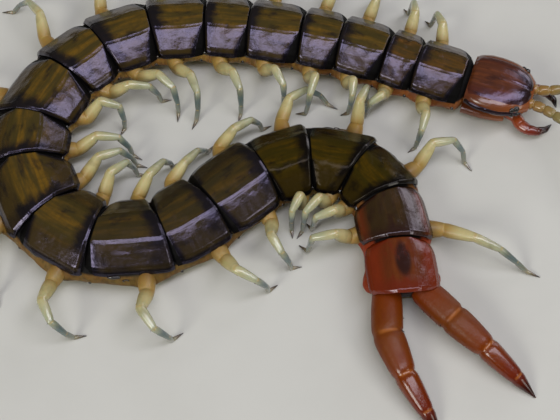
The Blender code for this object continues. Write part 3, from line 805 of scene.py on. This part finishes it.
# Head, in its own frame: x ahead of the neck, y to the animal's left, z up
head = {
    "length": 6.4, "width": 6.8, "top": 4.5, "underside": 2.0, "squareness": 0.75,
    # share of the length, share of the width, fall of the top, lift of the underside
    "rings": ((0.0, 0.80, 0.35, 0.0), (0.06, 0.90, 0.12, 0.0), (0.22, 0.99, 0.0, 0.0),
              (0.42, 1.0, 0.0, 0.0), (0.62, 0.95, 0.08, 0.05), (0.80, 0.83, 0.28, 0.12),
              (0.92, 0.66, 0.58, 0.22), (0.985, 0.48, 0.85, 0.35)),
    "rimHeight": 3.05, "shieldAbove": 0.22, "shieldThickness": 0.16,
    "margin": 0.07, "groove": 0.07,
}
headHeading = np.radians(trunk["heading"]) + pi
headSides = (("left", 1), ("right", -1))


# a shape as a piece, moved from the head's frame into the scene's
def headPiece(name, shape, material, replaces=()):
    points, faces, places = shape
    shape = fromFrame(points, *trunk["neck"], headHeading), faces, places
    return newPiece(name, shape, material, replaces)


# values of the head's rings at a share of its length, rounded by averaging close shares
def headValue(share, column):
    table = np.array(head["rings"])
    close = [np.interp(share + step, table[:, 0], table[:, column]) for step in np.linspace(-0.05, 0.05, 7)]
    return sum(close) / len(close)


# round box section: the cosine and sine of a full turn, each to a power that presses it outwards
def boxSection(count, power):
    turn = fullTurn(count)
    return [np.sign(part) * np.abs(part) ** power for part in (np.cos(turn), np.sin(turn))]


# capsule under the shield: round box sections, narrowed to a blunt front
def headCapsule():
    share = np.concatenate([[0.0, 0.004], np.linspace(0.01, 0.97, 44), [0.985, 0.992]])
    close = np.ones(len(share))
    close[0], close[-2:] = 0.85, (0.85, 0.6)
    side, rise = boxSection(56, head["squareness"])
    top = head["top"] - headValue(share, 2) - head["shieldAbove"]
    bottom = head["underside"] + headValue(share, 3)
    wide = head["width"] / 2 * headValue(share, 1) * 0.955 * close
    middle, high = (top + bottom) / 2, (top - bottom) / 2 * close
    cheek = 1 + 0.05 * bump(share - 0.55, 0.12)[:, None] * bump(rise + 0.2, 0.4)
    rings = stacked((gap + share * head["length"])[:, None], wide[:, None] * side * cheek,
                    middle[:, None] + high[:, None] * rise)
    return tubeShape(rings, stacked(share[:, None], side, rise))


# shield: domed over the capsule, with a raised margin, a furrow from the front, two curved
# grooves from the rear, and a shallow notch between the feelers
def headShield():
    u, v = np.meshgrid(endsCloser(56, 0, 1), endsCloser(71, -1, 1, 0.5), indexing="ij")
    away = np.abs(v)
    share = 0.015 + 0.945 * u * (1 - 0.03 * bump(v, 0.12) * u ** 8)
    half = head["width"] / 2 * (headValue(share, 1) + 0.012)
    half = half * (1 - 0.25 * grown(u, 0.86, 1) ** 2)
    top = head["top"] - headValue(share, 2)
    rim = head["rimHeight"] - 0.25 * grown(u, 0.7, 1)
    up = rim + (top - rim) * (1 - away ** 2.7) ** 0.75
    up += head["margin"] * bump(away - 0.965, 0.02) * (u > 0.02)
    curved = 0.30 + 0.16 * (1 - u) ** 2
    up -= head["groove"] * bump(v, 0.02) * grown(u, 0.45, 0.65)
    up -= head["groove"] * bump(away - curved, 0.018) * (1 - grown(u, 0.3, 0.5))
    up -= 0.05 * bump(u - 0.80, 0.06) * (1 - away)
    up -= 0.10 * (1 - grown(u, 0, 0.04)) + 0.16 * grown(u, 0.96, 1) ** 2
    grid = stacked(gap + share * head["length"], half * v, up)
    return slabShape(grid, stacked(0.25 + 0.7 * u, v, 0.0), head["shieldThickness"])


headFinish = limbFinish("brown_head_capsule", {0.0: (98, 48, 24), 1.0: (134, 72, 32)},
                        (120, 70, 34), (98, 48, 24), 0.6, 0.05)
headPiece("head_capsule", headCapsule(), headFinish, replaces=["head"])
shieldFinish = shellFinish("chestnut_head_shield", (84, 44, 22), (132, 70, 28), (78, 36, 20),
                           (26, 12, 8), 0.8)
headPiece("head_shield", headShield(), shieldFinish)

# Eyes: four on each side, each in a thin dark ring that stands a little further back
eyes = {
    "places": ((5.05, 2.64, 3.45), (5.45, 2.44, 3.55), (5.15, 2.77, 3.0), (5.55, 2.52, 3.05)),
    "axes": ((0.35, 0.80, 0.48), (0.94, -0.30, -0.18), (0, -0.5, 0.86)),
    "radii": (0.216, 0.27, 0.27), "rimRadii": (0.1215, 0.3294, 0.3294), "rimBack": 0.06,
}
eyeFinish = chitinFinish("black_eye", (8, 6, 6), (30, 16, 8), 0.08)
eyeShapes, rimShapes = [], []
for _, side in headSides:
    axes = np.array(eyes["axes"]) * (1, side, 1)
    for centre in np.array(eyes["places"]) * (1, side, 1):
        eyeShapes.append(domeShape(centre, axes, eyes["radii"], 16, 20))
        rimShapes.append(domeShape(centre - axes[0] * eyes["rimBack"], axes, eyes["rimRadii"]))
headPiece("eyes", joinShapes(eyeShapes), eyeFinish)
headPiece("eye_rims", joinShapes(rimShapes), darkChitin)

# Throat between the head and the plate of the poison claws
throat = {
    "points": ((-0.4, 0, 1.7), (2.2, 0, 1.8), (4.4, 0, 1.95), (5.6, 0, 2.2)),
    "radii": (1.5, 2.35, 1.9, 0.9), "sides": 40, "perPart": 12, "bulge": 1.0, "pinch": 0.0, "flatten": 0.42,
}
headPiece("throat", limbShape(**throat), skin)

# Lip and face plate under the feelers: centre, radii, rows and columns
lip = (((6.2, 0, 2.75), (0.42, 1.25, 0.42), 14, 24), ((6.05, 0, 2.42), (0.34, 0.85, 0.26), 12, 20))
shapes = [domeShape(centre, np.eye(3), *size) for centre, *size in lip]
headPiece("front_lip", joinShapes(shapes), darkChitin)

# Palps between the poison claws
palps = {"radii": (0.26, 0.25, 0.22, 0.16, 0.03), "sides": 16, "perPart": 8, "bulge": 1.1, "pinch": 0.2}
palpPoints = np.array([(4.3, 0.95, 1.95), (5.1, 1.0, 1.92), (5.9, 0.72, 1.86), (6.45, 0.38, 1.80),
                       (6.6, 0.30, 1.74)])
palpFinish = limbFinish("amber_palp", {0.0: (170, 110, 52), 0.8: (196, 150, 84), 1.0: (60, 28, 14)},
                        (130, 84, 40), (206, 170, 110), 0.5, 0.15)
shapes = [limbShape(palpPoints * (1, side, 1), **palps) for _, side in headSides]
headPiece("palps", joinShapes(shapes), palpFinish)


# Poison claws and the plate that carries them
clawPlate = {
    "length": 4.3, "width": 5.4, "top": 1.65, "belly": 0.5, "squareness": 0.55, "furrow": (0.08, 0.05),
    # shares of the length, and there the share of the width and the fall of the top
    "narrowing": ((0, 0.5, 0.85, 1.0), (1, 1, 0.92, 0.84)), "fall": ((0.5, 0.85, 1), (0, 0.05, 0.15)),
}
claws = {
    "turns": (-60, 75), "reach": 1.9, "bow": 2.0, "inside": 0.55,
    "root": (1.2, 1.1), "sunk": 0.6, "neck": 0.8,
    "heights": (1.15, 0.95), "radii": (0.52, 0.60, 0.62, 0.56, 0.46, 0.33, 0.05), "flatten": 0.85,
}
teeth = {
    "perSide": 4, "first": 0.32, "apart": 0.26, "height": 1.25,
    "back": 0.32, "bow": 0.06,     # how far they stand back, and how much more for each mm out
    "spread": 0.12, "rise": 0.10, "length": 0.42, "radius": 0.14,
}


# rounded box sections that narrow to the front, with a furrow along the middle
def clawPlateShape():
    p = clawPlate
    share = np.concatenate([[0.0], endsCloser(28, 0.004, 1.0), [1.004]])
    wide = p["width"] / 2 * np.interp(share, *p["narrowing"])
    top = p["top"] - np.interp(share, *p["fall"])
    close = np.ones(len(share))
    close[[0, -1]] = 0.8
    side, rise = boxSection(64, p["squareness"])
    furrow = p["furrow"][0] * bump(side, p["furrow"][1])
    middle, high = (top + p["belly"]) / 2, (top - p["belly"]) / 2
    rings = stacked((gap + share * p["length"])[:, None], (wide * close)[:, None] * side,
                    middle[:, None] + (high * close)[:, None] * (rise - np.sign(rise) * furrow))
    return tubeShape(rings, stacked(share[:, None], 0.0, rise))


clawFinish = limbFinish(
    "rust_poison_claw", {0.0: (140, 62, 26), 0.35: (150, 66, 24), 0.6: (120, 36, 16), 0.82: (34, 10, 8),
                         1.0: (10, 5, 5)},
    (110, 44, 20), (92, 34, 16), 0.8, 0.05)
headPiece("claw_plate_shell", clawPlateShape(), headFinish, replaces=["poison_claw_plate"])
clawStart = gap * 2 + clawPlate["length"]
turn = np.radians(np.linspace(*claws["turns"], len(claws["radii"]) - 1))
clawX = clawStart + claws["neck"] + claws["reach"] * (np.sin(turn) - np.sin(turn[0]))
clawY = claws["inside"] + claws["bow"] * np.cos(turn)
clawZ = np.linspace(*claws["heights"], len(turn))
for name, side in headSides:
    points = [(clawStart - claws["sunk"], *claws["root"]), *zip(clawX, clawY, clawZ)]
    points = np.array(points) * (1, side, 1)
    shape = limbShape(points, claws["radii"], sides=28, perPart=14, bulge=1.03, pinch=0.05,
                      flatten=claws["flatten"])
    headPiece(f"poison_claw_{name}_shell", shape, clawFinish, [f"poison_claw_{name}"])
apart = teeth["first"] + teeth["apart"] * np.arange(teeth["perSide"])
toothOut = np.concatenate([apart, -apart])
toothRoots = stacked(clawStart - teeth["back"] - teeth["bow"] * np.abs(toothOut), toothOut, teeth["height"])
toothWays = stacked(1.0, toothOut * teeth["spread"], teeth["rise"])
toothShape = spikeShape(toothRoots, toothWays, teeth["length"], teeth["radius"])
headPiece("claw_plate_teeth", toothShape, darkChitin)
print("head made")


# Feelers: beads that thin out to the tip, the first few bare and the others with short bristles
feelers = {
    "beads": 17, "length": 19.0, "radii": (0.52, 0.26), "root": (0.9, 3.0), "slimness": 0.92,
    "spread": (14, 44), "wave": 2.6, "arch": (1.1, 2.4), "droop": 1.9, "tipShare": 0.4,
    "sunk": (0.7, 0, 0.05), "sunkRadius": 0.5,
    "socket": (6.15, 0.9, 2.98), "socketRadii": (0.36, 0.72, 0.62),
    "bare": 5, "bristles": 900, "bristleLengths": (0.16, 0.30), "bristleRadius": 0.014, "bristleLean": 0.9,
}
feelerFinish = limbFinish(
    "olive_feeler", {0.0: (150, 112, 56), 0.3: (132, 132, 84), 0.6: (92, 116, 100), 1.0: (84, 100, 92)},
    (70, 76, 60), (176, 160, 112), 0.35, 0.1)
bristleFinish = chitinFinish("amber_bristle", (150, 128, 84), (120, 96, 60), 0.4)
share = np.linspace(0, 1, feelers["beads"] + 1)
headings = np.radians(feelers["spread"][0] + feelers["spread"][1] * np.sin(share * feelers["wave"]))
step = feelers["length"] / feelers["beads"]
feelerX = head["length"] * head["rings"][-1][0] + 2 * gap + step * runningSum(np.cos(headings[:-1]))
feelerY = feelers["root"][0] + step * runningSum(np.sin(headings[:-1]))
feelerZ = feelers["root"][1] + feelers["arch"][0] * np.sin(share * feelers["arch"][1])
feelerZ = feelerZ - feelers["droop"] * share ** 2
feelerRadii = np.interp(share, (0, 1), feelers["radii"]) * feelers["slimness"]
feelerRadii[-1] *= feelers["tipShare"]
draws = np.random.default_rng(7)
for name, side in headSides:
    points = np.column_stack([feelerX, feelerY, feelerZ]) * (1, side, 1)
    start = points[0] - feelers["sunk"]
    radii = [feelers["sunkRadius"], *feelerRadii]
    shape = limbShape(np.vstack([start, points]), radii, sides=18, pinch=0.26)
    headPiece(f"feeler_{name}_beads", shape, feelerFinish, [f"feeler_{name}"])
    at = draws.uniform(feelers["bare"], feelers["beads"] - 0.2, feelers["bristles"])
    below = at.astype(int)
    bead = points[below + 1] - points[below]
    centre, ahead = points[below] + bead * (at - below)[:, None], unit(bead)
    across = np.cross(ahead, (0, 0, 1))
    angle = draws.uniform(0, 2 * pi, len(at))[:, None]
    out = np.cos(angle) * across + np.sin(angle) * np.cross(across, ahead)
    radius = np.interp(at, np.arange(len(points)), feelerRadii)[:, None]
    lengths = draws.uniform(*feelers["bristleLengths"], len(at))
    way = out + ahead * feelers["bristleLean"]
    shape = spikeShape(centre + out * radius, way, lengths, feelers["bristleRadius"])
    headPiece(f"feeler_{name}_bristles", shape, bristleFinish)
centres = [np.array(feelers["socket"]) * (1, side, 1) for _, side in headSides]
shapes = [domeShape(centre, np.eye(3), feelers["socketRadii"], 14, 22) for centre in centres]
headPiece("feeler_sockets", joinShapes(shapes), headFinish)
print("feelers made")


# Tail: hip lobes beside the last plate, each with a small tip, and spines on the tips and on the
# terminal legs. Places and ways are ahead, out and up
tail = {
    "lobe": (-1.5, 1.85, 1.75), "lobeRadii": (2.1, 0.80, 1.05), "lean": 0.10,
    "tip": (1.75, -0.15, -0.25), "tipRadii": (0.75, 0.30, 0.28),
    "spinePlaces": ((0.62, 0, 0), (0.5, 0.2, 0)), "spineWays": ((1, 0, 0), (1, 0.4, 0)),
    "spine": (0.34, 0.09),         # length and radius, and so below
    # on the first part of a terminal leg: share of its length, angle above its inner side in radians
    "legSpinePlaces": ((0.42, -0.35), (0.62, 0.05), (0.80, -0.45), (0.93, 0.1)),
    "legSpineWay": (1, 1.1, 0.5), "legSpine": (0.36, 0.10), "legRadius": 1.28,
}
lobes, spineRoots, spineWays = [], [], []
for side in (1, -1):
    ahead, out, up = axesOnLine(tailHeading, side)
    long = ahead - tail["lean"] * out
    axes = long, out * side, up
    centre = np.dot(tail["lobe"], (ahead, out, up)) + [tailX, tailY, 0]
    tip = centre + np.dot(tail["tip"], (long, out, up))
    lobes.append(domeShape(centre, axes, tail["lobeRadii"], 24, 30, (0.4, 0, 0)))
    lobes.append(domeShape(tip, axes, tail["tipRadii"], 14, 18, (0.5, 0, 0)))
    spineRoots.extend(tip + np.dot(tail["spinePlaces"], (long, out, up)))
    spineWays.extend(np.dot(tail["spineWays"], (long, out, up)))
newPiece("hip_lobes", joinShapes(lobes), tailLegFinish)
newPiece("hip_spines", spikeShape(spineRoots, spineWays, *tail["spine"]), darkChitin)
up = np.array([0, 0, 1.0])
share, tilt = np.array(tail["legSpinePlaces"]).T[..., None]
for name, side in bodySides:
    first, second = terminalJoints[name][:2]
    ahead = unit(second - first)
    inner = np.cross(ahead, up) * side
    raised = inner * np.cos(tilt) + up * np.sin(tilt) * terminalLegs["flatten"]
    roots = first + (second - first) * share + tail["legRadius"] * raised
    way = np.dot(tail["legSpineWay"], (ahead, inner, up))
    shape = spikeShape(roots, way, *tail["legSpine"])
    newPiece(f"terminal_leg_{name}_spines", shape, darkChitin)
print("tail made")


# Spurs beside the foot joints of the walking legs, and a pair beside each claw
spurs = {
    "places": ((3, 0.30), (4, -0.24), (5, 0.17), (5, -0.17)),      # joint, and how far to its side
    "back": 0.05, "spread": 0.7, "length": 0.26, "radius": 0.05,
}
spurRoots, spurWays = [], []
for points in legJoints:
    for joint, offset in spurs["places"]:
        ahead = unit(points[joint] - points[joint - 1])
        across = np.cross(ahead, (0, 0, 1))
        spurRoots.append(points[joint] + across * offset - ahead * spurs["back"])
        spurWays.append(ahead + spurs["spread"] * across * np.sign(offset))
spurShape = spikeShape(spurRoots, spurWays, spurs["length"], spurs["radius"])
newPiece("leg_spurs", spurShape, darkChitin)
print("spurs made")


# Floor, lights and camera
view = {
    "elevation": 61.3, "distance": 95.0, "lens": 64.43,
    "target": (-3.763, -4.076, 0.0),
}
sky = {"horizon": 0.05, "zenith": 0.17, "colour": (1.0, 0.97, 0.86, 1)}


# a plain pale floor, faintly clouded
def addFloor():
    mesh = bpy.data.meshes.new("floor")
    reach = 2.0
    corners = [(-reach, -reach, 0), (reach, -reach, 0), (reach, reach, 0), (-reach, reach, 0)]
    mesh.from_pydata(corners, [], [(0, 1, 2, 3)])
    f = Finish("pale_floor")
    cloud = f.noise(f.inObject(), 90.0, 4.0)
    colour = f.mix(f.ramp(cloud, 0.35, 0.7), (214, 214, 206), (210, 210, 202))
    mesh.materials.append(f.finished({"Base Color": colour, "Roughness": 0.8}))
    floor = inScene("floor", mesh)


# a soft rectangular lamp that looks at the middle of the floor, its long side turned from x
def addLamp(name, place, size, power, colour, turn=0.0):
    data = bpy.data.lights.new(name, "AREA")
    data.shape = "RECTANGLE"
    data.size, data.size_y = size
    data.energy = power
    data.color = colour
    lamp = inScene(name, data)
    lamp.location = place
    back = Vector(place).normalized()
    long = Vector((np.cos(turn), np.sin(turn), 0.0))
    long = (long - long.dot(back) * back).normalized()
    lamp.rotation_euler = Matrix((long, back.cross(long), back)).transposed().to_euler()
    lamp.visible_camera = False


# a dome that is brighter overhead than at the horizon
def addSky():
    world = bpy.data.worlds.new("studio")
    world.use_nodes = True
    nodes, links = world.node_tree.nodes, world.node_tree.links
    split = nodes.new("ShaderNodeSeparateXYZ")
    links.new(nodes.new("ShaderNodeTexCoord").outputs["Generated"], split.inputs[0])
    rise = nodes.new("ShaderNodeMapRange")
    links.new(split.outputs["Z"], rise.inputs["Value"])
    rise.inputs["From Max"].default_value = 1.0
    rise.inputs["To Min"].default_value, rise.inputs["To Max"].default_value = sky["horizon"], sky["zenith"]
    links.new(rise.outputs["Result"], nodes["Background"].inputs["Strength"])
    nodes["Background"].inputs["Color"].default_value = sky["colour"]
    bpy.context.scene.world = world


# looks down at its target from the front, at the photo's angle
def addCamera():
    data = bpy.data.cameras.new("camera")
    data.lens = view["lens"]
    data.sensor_width = 36
    data.clip_start = 0.005
    camera = inScene("camera", data)
    raised = np.radians(view["elevation"])
    x, y, z = view["target"]
    back = view["distance"]
    camera.location = (x * mm, (y - back * np.cos(raised)) * mm, (z + back * np.sin(raised)) * mm)
    camera.rotation_euler = (pi / 2 - raised, 0, 0)
    bpy.context.scene.camera = camera


# place in metres, size, power, colour and turn of each lamp
lamps = {
    "sky_panel": ((0.095, -0.047, 0.378), (0.53, 0.11), 0.95, (0.90, 0.89, 1.0), np.radians(32)),
    "left_panel": ((-0.34, -0.40, 0.33), (0.22, 0.20), 1.25, (1.0, 0.99, 0.92)),
    "right_panel": ((0.44, -0.26, 0.32), (0.20, 0.20), 0.45, (1.0, 0.99, 0.92)),
    "back_panel": ((0.30, 0.38, 0.36), (0.14, 0.14), 0.12, (0.9, 0.88, 1.0)),
    "tail_panel": ((0.41, 0.405, 0.16), (0.20, 0.16), 0.28, (0.94, 0.90, 0.96)),
}
addFloor()
for name, settings in lamps.items():
    addLamp(name, *settings)
addSky()
bpy.context.scene.view_settings.view_transform = "Standard"
addCamera()
print("stage made")
